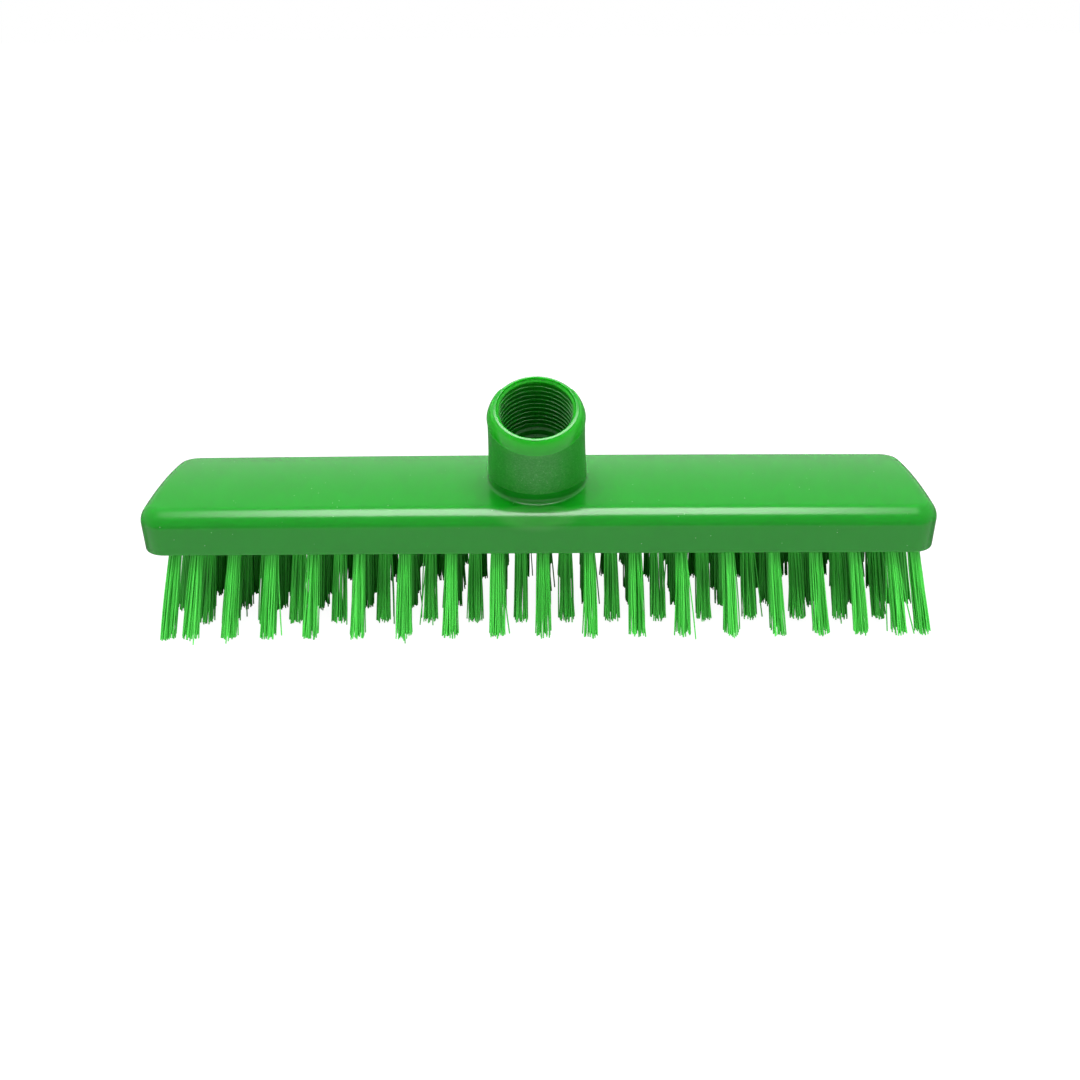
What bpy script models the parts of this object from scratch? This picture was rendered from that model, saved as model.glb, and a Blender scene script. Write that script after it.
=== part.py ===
"""Deck brush head: one moulded block with a leaning, threaded handle socket, and six rows of bristle tufts.

Metres, +Z up. X runs along the block, and the socket leans towards -Y. The origin lies on the floor
under the middle of the whole head, and every bristle tip is cut level at z = 0.
"""

import math

import bmesh
import bpy
from mathutils import Matrix, Vector

# Clearances and overruns
seat_gap = 0.0003
cut_overrun = 0.002
weld_distance = 0.000001

# Block, with its low edge all round and a top that is crowned across its depth
block_length = 0.300
block_depth = 0.060
block_edge_height = 0.0165
block_crown = 0.0027
block_corner_radius = 0.0094
block_top_fillet = 0.0060
block_foot_fillet = 0.0015
block_corner_steps = 6
block_top_fillet_steps = 5
block_foot_fillet_steps = 2
block_crown_strips = 8

# Handle socket, measured along its own axis from where that meets the crowned top
socket_tilt = math.radians(29.6)
socket_seat_front = 0.0019
socket_length = 0.0419
socket_foot_radius = 0.0188
socket_neck_radius = 0.0179
socket_rim_radius = 0.0156
socket_shoulder_drop = 0.0051
socket_shoulder_steps = 4
shoulder_bulge_share = 1.3
socket_fillet = 0.0023
socket_fillet_steps = 4
socket_fillet_sink = 0.0002
socket_fillet_passes = 24
socket_sides = 40

# Bore of the socket, from its mouth inwards
mouth_radius = 0.0142
mouth_chamfer = 0.0004
lead_in_length = 0.0009
thread_crest_radius = 0.0135
thread_depth = 0.0006
thread_pitch = 0.00235
thread_length = 0.0256
ledge_radius = 0.0120
ledge_depth = 0.0026
floor_radius = 0.0104
floor_depth = 0.0030
bore_sides = 32

# Bristle field, which lies a little to the right of the block's middle
free_length = 0.0372
field_shift = 0.0021
field_end_margin = 0.0083
field_side_margin = 0.0080
row_fan_share = 1.33
end_fan_share = 1.042

# Places of the tufts in a row, as shares of half the field's length
straight_row_shares = (0.124, 0.248, 0.372, 0.496, 0.620, 0.733, 0.836, 0.939, 1.0)
offset_row_left_shares = (0.062, 0.186, 0.310, 0.434, 0.558, 0.672, 0.757, 0.849, 0.922)
offset_row_right_shares = (0.062, 0.186, 0.310, 0.434, 0.558, 0.687, 0.803, 0.908)

# Tufts, each of a few strands that stand for locks of its filaments
tuft_root_radius = 0.0023
tuft_tip_radius = 0.0033
tuft_turn_share = 0.382
strands_per_tuft = 4
strand_sides = 3
strand_radius_share = 0.39

# Slices of the block's underside that the tufts are fused to
slice_margin = 0.0006
slice_depth = 0.0025

# Colours
block_green = (0.045, 0.330, 0.060, 1)
bristle_green = (0.060, 0.480, 0.075, 1)
block_roughness = 0.38
bristle_roughness = 0.45


def clear_scene():
    for obj in list(bpy.data.objects):
        bpy.data.objects.remove(obj, do_unlink=True)


def plastic(name, colour, roughness):
    material = bpy.data.materials.new(name)
    material.use_nodes = True
    shader = material.node_tree.nodes["Principled BSDF"]
    shader.inputs["Base Color"].default_value = colour
    shader.inputs["Roughness"].default_value = roughness
    shader.inputs["Metallic"].default_value = 0
    return material


def add_object(name, bm, place, parent=None, material=None):
    """Turns a bmesh into an object at a place, with its faces outwards."""
    bmesh.ops.recalc_face_normals(bm, faces=bm.faces)
    mesh = bpy.data.meshes.new(name)
    bm.to_mesh(mesh)
    bm.free()
    mesh.shade_smooth()
    mesh.set_sharp_from_angle(angle=math.radians(30))
    obj = bpy.data.objects.new(name, mesh)
    bpy.context.scene.collection.objects.link(obj)
    obj.location = place
    obj.parent = parent
    if material:
        mesh.materials.append(material)
    return obj


def as_tool(obj):
    """Marks an object as one that only shapes another."""
    obj.hide_render = True
    obj.display_type = "WIRE"
    return obj


def combine(obj, operation, tool):
    modifier = obj.modifiers.new(f"{operation.lower()} {tool.name}", "BOOLEAN")
    modifier.operation = operation
    modifier.solver = "EXACT"
    modifier.object = tool


def skin(bm, columns):
    """Joins neighbouring columns of points with faces. The last column lies on the first."""
    rows = [[bm.verts.new(point) for point in column] for column in columns]
    for left, right in zip(rows, rows[1:]):
        for low in range(len(left) - 1):
            bm.faces.new((left[low], right[low], right[low + 1], left[low + 1]))
    bmesh.ops.remove_doubles(bm, verts=bm.verts, dist=weld_distance)
    bmesh.ops.dissolve_degenerate(bm, edges=bm.edges, dist=weld_distance)


# The block

def top_height(y):
    """Height of the crowned top over the block's underside."""
    return block_edge_height + block_crown * (1 - (2 * y / block_depth) ** 2)


def surface_height(y):
    """Height of the block's upper side, with the round along its front and back edges."""
    over = max(abs(y) - block_depth / 2 + block_top_fillet, 0)
    drop = block_top_fillet - math.sqrt(max(block_top_fillet ** 2 - over ** 2, 0))
    return top_height(y) * (1 - drop / block_edge_height)


def surface_normal(y):
    rise = surface_height(y + weld_distance) - surface_height(y - weld_distance)
    return Vector((0, -rise, 2 * weld_distance)).normalized()


def edges_at_height(bm, height):
    return [edge for edge in bm.edges if all(abs(v.co.z - height) < weld_distance for v in edge.verts)]


def round_edges(bm, edges, radius, steps):
    bmesh.ops.bevel(bm, geom=edges, offset=radius, offset_type="OFFSET", segments=steps, profile=0.5,
                    affect="EDGES", clamp_overlap=True)


def block_body():
    """A rounded bar with its underside at z = 0, crowned across its depth."""
    bm = bmesh.new()
    size = Matrix.Diagonal((block_length, block_depth, block_edge_height, 1))
    lift = Matrix.Translation((0, 0, block_edge_height / 2))
    bmesh.ops.create_cube(bm, size=1, matrix=lift @ size)
    upright = [edge for edge in bm.edges if abs(edge.verts[0].co.z - edge.verts[1].co.z) > weld_distance]
    round_edges(bm, upright, block_corner_radius, block_corner_steps)
    round_edges(bm, edges_at_height(bm, block_edge_height), block_top_fillet, block_top_fillet_steps)
    round_edges(bm, edges_at_height(bm, 0), block_foot_fillet, block_foot_fillet_steps)
    for strip in range(1, block_crown_strips):
        y = block_depth * (strip / block_crown_strips - 0.5)
        geometry = list(bm.verts) + list(bm.edges) + list(bm.faces)
        bmesh.ops.bisect_plane(bm, geom=geometry, dist=weld_distance, plane_co=(0, y, 0), plane_no=(0, 1, 0))
    for vertex in bm.verts:
        rise = top_height(vertex.co.y) - block_edge_height
        vertex.co.z += rise * vertex.co.z / block_edge_height
    return bm


# The handle socket, in the block's frame

axis = Vector((0, -math.sin(socket_tilt), math.cos(socket_tilt)))
axis_foot = Vector((0, -socket_seat_front, top_height(socket_seat_front)))


def outward(turn):
    """Direction away from the socket's axis, at a turn about it."""
    back = Vector((0, math.cos(socket_tilt), math.sin(socket_tilt)))
    return Vector((math.cos(turn), 0, 0)) + math.sin(turn) * back


def on_socket(along, radius, turn):
    return axis_foot + along * axis + radius * outward(turn)


def wall_radius(along):
    taper = (socket_foot_radius - socket_neck_radius) / (socket_length - socket_shoulder_drop)
    return socket_foot_radius - taper * along


def fillet_points(turn):
    """The round between the socket and the block's top, as a ball rolls in the corner between them."""
    along = 0
    normal = Vector((0, 0, 1))
    for _ in range(socket_fillet_passes):
        centre = on_socket(along, wall_radius(along) + socket_fillet, turn)
        normal = surface_normal(centre.y - socket_fillet * normal.y)
        contact = centre - socket_fillet * normal
        along += (surface_height(contact.y) - socket_fillet_sink - contact.z) / math.cos(socket_tilt)
    start = -outward(turn)
    end = -normal
    bend = start.angle(end)
    points = []
    for step in range(socket_fillet_steps + 1):
        share = step / socket_fillet_steps
        swing = math.sin((1 - share) * bend) * start + math.sin(share * bend) * end
        points.append(centre + socket_fillet * swing / math.sin(bend))
    return points


def socket_column(turn):
    """One line down the outside of the socket, from the middle of its rim to the middle of its foot."""
    points = [on_socket(socket_length, 0, turn)]
    for step in range(socket_shoulder_steps + 1):
        swing = math.pi / 2 * step / socket_shoulder_steps
        spread = math.sin(swing) ** (2 / shoulder_bulge_share)
        fall = 1 - math.cos(swing) ** (2 / shoulder_bulge_share)
        radius = socket_rim_radius + (socket_neck_radius - socket_rim_radius) * spread
        points.append(on_socket(socket_length - socket_shoulder_drop * fall, radius, turn))
    points += fillet_points(turn)
    foot_height = block_edge_height / 2
    foot = points[-1]
    points.append(Vector((foot.x, foot.y, foot_height)))
    points.append(Vector((0, -socket_seat_front, foot_height)))
    return points


def socket_body():
    bm = bmesh.new()
    skin(bm, [socket_column(2 * math.pi * side / socket_sides) for side in range(socket_sides + 1)])
    return bm


def thread_points(share, low, high):
    """Crests and roots of the thread at one turn, with the groove running out at both ends."""
    rows = 2 * (math.ceil((high - low) / thread_pitch) + 1)
    points = []
    for row in range(rows + 1):
        along = low + thread_pitch * (row / 2 + share - 1)
        along = min(max(along, low), high)
        fade = min((along - low) / thread_pitch, (high - along) / thread_pitch, 1)
        groove = thread_depth * fade * (row % 2)
        points.append((thread_crest_radius + groove, along))
    return points


def bore_profile(share):
    """Radius and height of the bore from its floor to past its mouth, at one turn."""
    lead_step = mouth_radius - thread_crest_radius
    thread_top = socket_length - lead_in_length - lead_step
    ledge = thread_top - thread_length
    low_ledge = ledge - ledge_depth
    floor = low_ledge - floor_depth
    chamfer_out = mouth_chamfer + cut_overrun
    points = [(0, floor), (floor_radius, floor), (floor_radius, low_ledge)]
    points += [(ledge_radius, low_ledge), (ledge_radius, ledge)]
    points += thread_points(share, ledge, thread_top)
    points += [(mouth_radius, thread_top + lead_step), (mouth_radius, socket_length - mouth_chamfer)]
    points += [(mouth_radius + chamfer_out, socket_length + cut_overrun), (0, socket_length + cut_overrun)]
    return points


def bore_body():
    bm = bmesh.new()
    columns = []
    for side in range(bore_sides + 1):
        share = side / bore_sides
        columns.append([on_socket(along, radius, 2 * math.pi * share) for radius, along in bore_profile(share)])
    skin(bm, columns)
    return bm


# The bristle field, in a frame on the block's underside at the middle of the field

strand_radius = strand_radius_share * tuft_root_radius
field_half_length = block_length / 2 - field_end_margin
row_half_spread = block_depth / 2 - field_side_margin
straight_row = sorted([-share for share in straight_row_shares] + [0] + list(straight_row_shares))
offset_row = sorted([-share for share in offset_row_left_shares] + list(offset_row_right_shares))
rows = (
    ("front", straight_row),
    ("second", offset_row),
    ("third", straight_row),
    ("fourth", straight_row),
    ("fifth", offset_row),
    ("back", straight_row),
)
groups = ("left_end", "left", "middle", "right", "right_end")


def split(places):
    """The places of one row in as many groups as it has, the spare ones at its ends."""
    size = len(places) // len(groups)
    spare = len(places) - size * len(groups)
    counts = [size] * len(groups)
    for extra in range(spare):
        near_end = extra // 2
        counts[near_end if extra % 2 == 0 else -1 - near_end] += 1
    found = []
    start = 0
    for count in counts:
        found.append(places[start:start + count])
        start += count
    return found


def bristle_groups():
    """Name, holes and row depth of every group of tufts."""
    found = []
    for number, (row, shares) in enumerate(rows):
        y = row_half_spread * (2 * number / (len(rows) - 1) - 1)
        for group, group_shares in zip(groups, split(shares)):
            holes = [field_half_length * share for share in group_shares]
            found.append((f"{row}_tufts_{group}", holes, y))
    return found


def add_slice(bm, holes, y, clearance, low, high):
    """A bar that takes in a group of tufts at the block's underside."""
    reach = tuft_root_radius + slice_margin + clearance
    start, end = holes[0] - reach, holes[-1] + reach
    size = Matrix.Diagonal((end - start, 2 * reach, high - low, 1))
    middle = Matrix.Translation(((start + end) / 2, y, (low + high) / 2))
    bmesh.ops.create_cube(bm, size=1, matrix=middle @ size)


def pockets_body():
    bm = bmesh.new()
    for _, holes, y in bristle_groups():
        add_slice(bm, holes, y, seat_gap, -cut_overrun, slice_depth + seat_gap)
    return bm


def add_strand(bm, root, tip, turn):
    """One strand, cut level at its tip and rooted inside its slice."""
    place = Matrix.Translation(tip) @ Matrix.Rotation(turn, 4, "Z")
    made = bmesh.ops.create_circle(bm, cap_ends=True, radius=strand_radius, segments=strand_sides, matrix=place)
    cap = made["verts"][0].link_faces[0]
    grown = bmesh.ops.extrude_face_region(bm, geom=[cap])
    moved = [item for item in grown["geom"] if isinstance(item, bmesh.types.BMVert)]
    bmesh.ops.translate(bm, vec=root - tip, verts=moved)


def strands_body(holes, y):
    """The strands of a group of tufts. They spread from the hole, and the field fans out to its edges."""
    bm = bmesh.new()
    for number, x in enumerate(holes):
        hole = Vector((x, y, 0))
        foot = Vector((x * end_fan_share, y * row_fan_share, -free_length))
        lean = (foot - hole) / free_length
        root_middle = hole - lean * slice_depth / 2
        for strand in range(strands_per_tuft):
            turn = 2 * math.pi * (strand / strands_per_tuft + tuft_turn_share * number)
            side = Vector((math.cos(turn), math.sin(turn), 0))
            root = root_middle + (tuft_root_radius - strand_radius) * side
            tip = foot + (tuft_tip_radius - strand_radius) * side
            add_strand(bm, root, tip, turn)
    return bm


def build_block(parent, material):
    place = (-field_shift, 0, free_length)
    block = add_object("brush_block", block_body(), place, parent, material)
    socket = as_tool(add_object("socket_shape", socket_body(), place, parent))
    bore = as_tool(add_object("bore_cutter", bore_body(), place, parent))
    pockets = as_tool(add_object("pocket_cutter", pockets_body(), (0, 0, free_length), parent))
    combine(block, "UNION", socket)
    combine(block, "DIFFERENCE", bore)
    combine(block, "DIFFERENCE", pockets)
    return [block, socket]


def build_bristles(parent, material):
    place = (0, 0, free_length)
    shapes = []
    for name, holes, y in bristle_groups():
        backing = bmesh.new()
        add_slice(backing, holes, y, 0, 0, slice_depth)
        node = add_object(name, backing, place, parent, material)
        strands = as_tool(add_object(f"{name}_strands", strands_body(holes, y), place, parent))
        combine(node, "UNION", strands)
        shapes.append(strands)
    return shapes


def middle_from_above(shapes):
    """Middle of the box round some shapes, on the floor."""
    points = [shape.location + vertex.co for shape in shapes for vertex in shape.data.vertices]
    xs = [point.x for point in points]
    ys = [point.y for point in points]
    return Vector(((min(xs) + max(xs)) / 2, (min(ys) + max(ys)) / 2, 0))


def main():
    clear_scene()
    brush = bpy.data.objects.new("deck_brush", None)
    bpy.context.scene.collection.objects.link(brush)
    shapes = build_block(brush, plastic("moulded_green", block_green, block_roughness))
    shapes += build_bristles(brush, plastic("bristle_green", bristle_green, bristle_roughness))
    brush.location = -middle_from_above(shapes)


main()
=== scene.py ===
"""Looks of a deck brush head: its moulded block with the handle socket, and six rows of bristle tufts.

Metres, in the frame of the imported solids. X runs along the block, the socket leans towards -Y, and
the bristle tips touch the floor at z = 0.
"""

import math

import bmesh
import bpy
from mathutils import Matrix, Vector


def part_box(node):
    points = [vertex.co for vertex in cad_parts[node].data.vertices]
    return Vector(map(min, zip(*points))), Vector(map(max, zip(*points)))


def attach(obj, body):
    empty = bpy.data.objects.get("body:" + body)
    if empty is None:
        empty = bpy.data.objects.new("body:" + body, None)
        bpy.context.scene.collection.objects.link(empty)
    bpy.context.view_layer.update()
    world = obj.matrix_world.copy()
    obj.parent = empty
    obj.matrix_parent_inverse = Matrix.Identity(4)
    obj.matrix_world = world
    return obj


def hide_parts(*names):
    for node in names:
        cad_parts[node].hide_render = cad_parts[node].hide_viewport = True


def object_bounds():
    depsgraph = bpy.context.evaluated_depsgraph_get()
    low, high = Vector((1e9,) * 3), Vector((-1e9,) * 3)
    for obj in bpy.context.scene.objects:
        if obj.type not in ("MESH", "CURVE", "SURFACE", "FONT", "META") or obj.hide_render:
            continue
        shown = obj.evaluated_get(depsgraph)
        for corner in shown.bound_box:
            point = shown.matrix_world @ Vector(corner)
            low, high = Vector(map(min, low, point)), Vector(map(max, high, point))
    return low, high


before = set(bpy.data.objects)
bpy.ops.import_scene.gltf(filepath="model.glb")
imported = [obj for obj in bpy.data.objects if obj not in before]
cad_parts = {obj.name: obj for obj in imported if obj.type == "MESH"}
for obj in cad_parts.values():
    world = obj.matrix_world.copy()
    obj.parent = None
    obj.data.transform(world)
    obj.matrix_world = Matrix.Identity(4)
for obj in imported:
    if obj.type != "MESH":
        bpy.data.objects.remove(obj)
cad_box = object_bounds()

# Block: its length and place come from the frame, where the socket stands out over its front
block_low, block_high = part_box("brush_block")
block_length = block_high.x - block_low.x
block_depth = 0.060
block_foot = Vector(((block_low.x + block_high.x) / 2, block_high.y - block_depth / 2, block_low.z))
edge_height = 0.0165
crown = 0.0027
corner_radius = 0.0094
top_fillet = 0.0060
foot_fillet = 0.0008
camber = 0.00025
long_crown = 0.00025
corner_steps = 16
top_fillet_steps = 20
foot_fillet_steps = 6
wall_steps = 5
inset_steps = 4
long_steps = 150
short_steps = 24

# Sink mark in front of the socket, where the thick plastic drew in as it cooled
sink_depth = 0.0003
sink_half_width = 0.018
sink_middle = -0.0265
sink_reach = 0.008

# Handle socket, measured along its own axis from where that meets the crowned top
socket_tilt = math.radians(29.6)
socket_seat_front = 0.0019
socket_length = 0.0419
socket_foot_radius = 0.0193
socket_flare = 1.6
socket_neck_radius = 0.0179
shoulder_drop = 0.0051
shoulder_bulge = 1.3
lip_round = 0.0003
rim_width = 0.0006
rim_side_swell = 0.8
rim_slope = math.radians(6)
parting_ridge = 0.00006
parting_step = 0.00012
socket_fillet = 0.0020
socket_side_fillet = 0.0007
fillet_sink = 0.00001
socket_sides = 176
shoulder_steps = 16
lip_steps = 6
rim_steps = 3
wall_rows = 30
plain_rows = 3
fillet_rows = 12
sharp_angle = math.radians(38)

# Bore of the socket
mouth_radius = 0.0142
lead_in_length = 0.0009
thread_crest_radius = 0.0135
thread_depth = 0.0006
thread_pitch = 0.00235
thread_start_share = 0.47
thread_length = 0.0256
thread_profile_shares = ((0, 0), (0.10, 0), (0.138, 0.33), (0.166, 1), (0.44, 1), (0.70, 1), (0.95, 1))
ledge_width = 0.00095
ledge_fall = 0.0006
ledge_step = 0.0027
floor_depth = 0.0026
floor_round = 0.0010

# Two nibs on the lip, where the mould's halves met. The lip is rounded before them and sharp behind them.
nib_turns = (math.radians(34), math.radians(146))
nib_height = 0.00016
nib_half_width = 0.0006
nib_step = math.radians(5)

# Bristle field, a little to the right of the block's middle, with its tufts as shares of half its length
field_shift = 0.0021
field_end_margin = 0.0091
field_side_margin = 0.0080
row_fan_share = 1.33
end_fan_share = 1.0478
end_flare = 0.0010
end_flare_power = 8
tip_lift = 0.0003
tip_slant = 0.0015
straight_row_shares = (0.124, 0.248, 0.372, 0.496, 0.620, 0.733, 0.836, 0.939, 1.0)
offset_row_left_shares = (0.062, 0.186, 0.310, 0.434, 0.558, 0.672, 0.757, 0.849, 0.922)
offset_row_right_shares = (0.062, 0.186, 0.310, 0.434, 0.558, 0.687, 0.803, 0.908)

# Tufts and their filaments
hole_radius = 0.0024
hole_depth = 0.0110
hole_sides = 20
filaments_per_tuft = 44
filament_radius = 0.00026
filament_sides = 6
filament_steps = 7
root_depth = 0.0030
root_radius = 0.0021
tip_radius = 0.0032
ragged_length = 0.0017

# Scatter of the filaments in a tuft. Each is turned on from the one before it, which fills the bundle evenly,
# and its tip is moved by a share of the tuft's radius.
numbers_per_tuft = 97
golden_turn = 2.39996
whole_turn = 6.283
turn_scatter = 0.45
tip_fill = 0.9
tip_scatter = (-0.05, 0.22)
stray_above = 0.965
stray_spread = 0.75
ragged_power = 1.6
cut_tilt = 0.0004
cut_clearance = 0.0003
bow_reach = 0.0005

# Camera, fitted to the block's and the socket's outlines in the photograph
photo_size = 1080
focal_pixels = 1026.3
camera_place = block_foot + Vector((0.00468, -0.37037, 0.17985))
camera_pitch = math.radians(62.972)
camera_yaw = math.radians(0.612)
camera_roll = math.radians(-0.569)

# Studio: one softbox overhead, brighter in its middle than at its two ends, in a white room
softbox_height = 1.05
softbox_width = 1.05
softbox_depth = 0.80
softbox_middle = -0.24
softbox_layers = 4
softbox_layer_gap = 0.01
softbox_soft_share = 0.35
softbox_radiance = 9.6
room_radiance = 0.68
room_front_radiance = 0.45
floor_glow = 0.96
floor_strip = (-0.40, -0.035)
floor_strip_edge = 0.03
floor_strip_glow = 0.74
floor_bounce = 0.15
floor_roughness = 0.9
floor_size = 12
room_front_turn = (-0.8, -0.3)


# Meshes

def mesh_object(name, bm, *materials):
    """A smooth object from a mesh in the making, which is used up."""
    mesh = bpy.data.meshes.new(name)
    bm.to_mesh(mesh)
    bm.free()
    mesh.shade_smooth()
    for material in materials:
        mesh.materials.append(material)
    obj = bpy.data.objects.new(name, mesh)
    bpy.context.scene.collection.objects.link(obj)
    return obj


def skin(bm, columns, slots=None):
    """Joins neighbouring lines of points with faces. The last line lies on the first."""
    lines = [[bm.verts.new(point) for point in column] for column in columns]
    for left, right in zip(lines, lines[1:]):
        for low in range(len(left) - 1):
            face = bm.faces.new((left[low], right[low], right[low + 1], left[low + 1]))
            if slots:
                face.material_index = slots[low]


def close_mesh(bm):
    """Welds what lies on one point and turns every face outwards."""
    bmesh.ops.remove_doubles(bm, verts=bm.verts, dist=1e-7)
    bmesh.ops.dissolve_degenerate(bm, edges=bm.edges, dist=1e-7)
    bmesh.ops.recalc_face_normals(bm, faces=bm.faces)


# The block, in its own frame with the underside at z = 0

def bow(x):
    """Share that falls from one at the block's middle to nought at its ends."""
    return 1 - (2 * x / block_length) ** 2


def top_height(x, y):
    """Height of the crowned top over the block's underside, with its sink mark."""
    rise = crown * (1 - (2 * y / block_depth) ** 2) + long_crown * bow(x)
    across = math.exp(-(x / sink_half_width) ** 2)
    along = math.exp(-((y - sink_middle) / sink_reach) ** 2)
    return edge_height + rise - sink_depth * across * along


def crowned(x, y, z):
    """Lifts a point of a plain flat block to where it lies under the crown and the camber."""
    return Vector((x, y, z * top_height(x, y) / edge_height + camber * bow(x)))


def surface_point(x, y):
    """Point on the block's upper side, with the round along its front and back edges."""
    over = max(abs(y) - block_depth / 2 + top_fillet, 0)
    drop = top_fillet - math.sqrt(max(top_fillet ** 2 - over ** 2, 0))
    return crowned(x, y, edge_height - drop)


def surface_normal(x, y):
    """Direction that the block's upper side faces at a place."""
    step = block_depth / 10000
    along_x = surface_point(x + step, y) - surface_point(x - step, y)
    along_y = surface_point(x, y + step) - surface_point(x, y - step)
    return along_x.cross(along_y).normalized()


def outline(inset, height):
    """One line of points round the block, set in from its widest line."""
    half_x = block_length / 2 - corner_radius
    half_y = block_depth / 2 - corner_radius
    radius = corner_radius - inset
    signs = ((1, 1), (-1, 1), (-1, -1), (1, -1))
    points = []
    for corner, (sign_x, sign_y) in enumerate(signs):
        middle = Vector((sign_x * half_x, sign_y * half_y))
        for step in range(corner_steps + 1):
            angle = math.pi / 2 * (corner + step / corner_steps)
            points.append(middle + radius * Vector((math.cos(angle), math.sin(angle))))
        next_x, next_y = signs[(corner + 1) % len(signs)]
        steps = long_steps if corner % 2 == 0 else short_steps
        start = points[-1]
        turn = math.pi / 2 * (corner + 1)
        end = Vector((next_x * half_x, next_y * half_y)) + radius * Vector((math.cos(turn), math.sin(turn)))
        points += [start.lerp(end, step / steps) for step in range(1, steps)]
    points.append(points[0])
    return [crowned(point.x, point.y, height) for point in points]


def block_lines():
    """Lines round the block from its underside up to where the flat of the top starts."""
    lines = []
    for step in range(foot_fillet_steps + 1):
        swing = math.pi / 2 * step / foot_fillet_steps
        lines.append(outline(foot_fillet * (1 - math.sin(swing)), foot_fillet * (1 - math.cos(swing))))
    wall_low, wall_high = foot_fillet, edge_height - top_fillet
    for step in range(1, wall_steps):
        lines.append(outline(0, wall_low + (wall_high - wall_low) * step / wall_steps))
    for step in range(top_fillet_steps + 1):
        swing = math.pi / 2 * step / top_fillet_steps
        lines.append(outline(top_fillet * (1 - math.cos(swing)), wall_high + top_fillet * math.sin(swing)))
    for step in range(1, inset_steps + 1):
        lines.append(outline(top_fillet + (corner_radius - top_fillet) * step / inset_steps, edge_height))
    return lines


def add_top(bm):
    """The middle of the top, as a grid that meets the last line round the block."""
    half_x = block_length / 2 - corner_radius
    half_y = block_depth / 2 - corner_radius
    grid = []
    for row in range(short_steps + 1):
        y = half_y * (2 * row / short_steps - 1)
        xs = [half_x * (2 * column / long_steps - 1) for column in range(long_steps + 1)]
        grid.append([bm.verts.new(crowned(x, y, edge_height)) for x in xs])
    for low, high in zip(grid, grid[1:]):
        for column in range(long_steps):
            bm.faces.new((low[column], low[column + 1], high[column + 1], high[column]))


def add_underside(bm, rim, holes):
    """The flat underside with its blind holes."""
    rings = []
    for hole in holes:
        circle = bmesh.ops.create_circle(bm, radius=hole_radius, segments=hole_sides,
                                         matrix=Matrix.Translation(hole))["verts"]
        rings.append(list(dict.fromkeys(edge for vertex in circle for edge in vertex.link_edges)))
    bmesh.ops.triangle_fill(bm, use_beauty=True, edges=rim + sum(rings, []))
    for ring in rings:
        grown = bmesh.ops.extrude_edge_only(bm, edges=ring)["geom"]
        top = [item for item in grown if isinstance(item, bmesh.types.BMVert)]
        bmesh.ops.translate(bm, vec=(0, 0, hole_depth), verts=top)
        bmesh.ops.edgeloop_fill(bm, edges=[e for e in grown if isinstance(e, bmesh.types.BMEdge)
                                           and all(v in top for v in e.verts)])


def block_shell(holes):
    """The closed block, with blind holes at the given places."""
    bm = bmesh.new()
    lines = block_lines()
    skin(bm, list(zip(*lines)))
    add_top(bm)
    bmesh.ops.remove_doubles(bm, verts=bm.verts, dist=1e-7)
    bmesh.ops.dissolve_degenerate(bm, edges=bm.edges, dist=1e-7)
    rim = [edge for edge in bm.edges if edge.is_boundary]
    add_underside(bm, rim, holes)
    close_mesh(bm)
    return bm


# The handle socket, in the block's frame

axis = Vector((0, -math.sin(socket_tilt), math.cos(socket_tilt)))
axis_foot = Vector((0, -socket_seat_front, edge_height + crown))


def outward(turn):
    """Direction away from the socket's axis: to the right at no turn, and backwards at a quarter turn."""
    back = Vector((0, math.cos(socket_tilt), math.sin(socket_tilt)))
    return Vector((math.cos(turn), 0, 0)) + math.sin(turn) * back


def on_socket(along, radius, turn):
    """Point at a height and a radius on the socket's own axis."""
    return axis_foot + along * axis + radius * outward(turn)


neck_height = socket_length - shoulder_drop


def wall_radius(along):
    """Radius of the wall, which flares out towards its foot."""
    top_radius = socket_neck_radius - parting_step
    return top_radius + (socket_foot_radius - top_radius) * (1 - along / neck_height) ** socket_flare


def foot_round(turn):
    """Radius of the round at the socket's foot, which is fullest at its front."""
    return socket_side_fillet + (socket_fillet - socket_side_fillet) * max(-math.sin(turn), 0) ** 2


def fillet_points(turn):
    """The round at the socket's foot, as a ball rolls in the corner, and how high on the wall it starts."""
    along = 0
    radius = foot_round(turn)
    normal = Vector((0, 0, 1))
    for _ in range(30):
        centre = on_socket(along, wall_radius(along) + radius, turn)
        contact = centre - radius * normal
        normal = surface_normal(contact.x, contact.y)
        contact = centre - radius * normal
        along += (surface_point(contact.x, contact.y).z - fillet_sink - contact.z) / math.cos(socket_tilt)
    start = -outward(turn)
    end = -normal
    bend = start.angle(end)
    points = []
    for row in range(fillet_rows + 1):
        share = row / fillet_rows
        swing = math.sin((1 - share) * bend) * start + math.sin(share * bend) * end
        points.append(centre + radius * swing / math.sin(bend))
    return along, points


def nib(turn):
    """How far a nib stands out of the lip at a turn."""
    return nib_height * sum(math.exp(-((turn - at) * mouth_radius / nib_half_width) ** 2) for at in nib_turns)


def rim(turn):
    """Width of the flat rim, which is wider at its sides and runs out behind the nibs."""
    behind = min(turn - nib_turns[0], nib_turns[1] - turn)
    width = rim_width * (1 + rim_side_swell * math.cos(turn) ** 2)
    return width * (1 - min(max(behind / nib_step, 0), 0.99))


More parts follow.
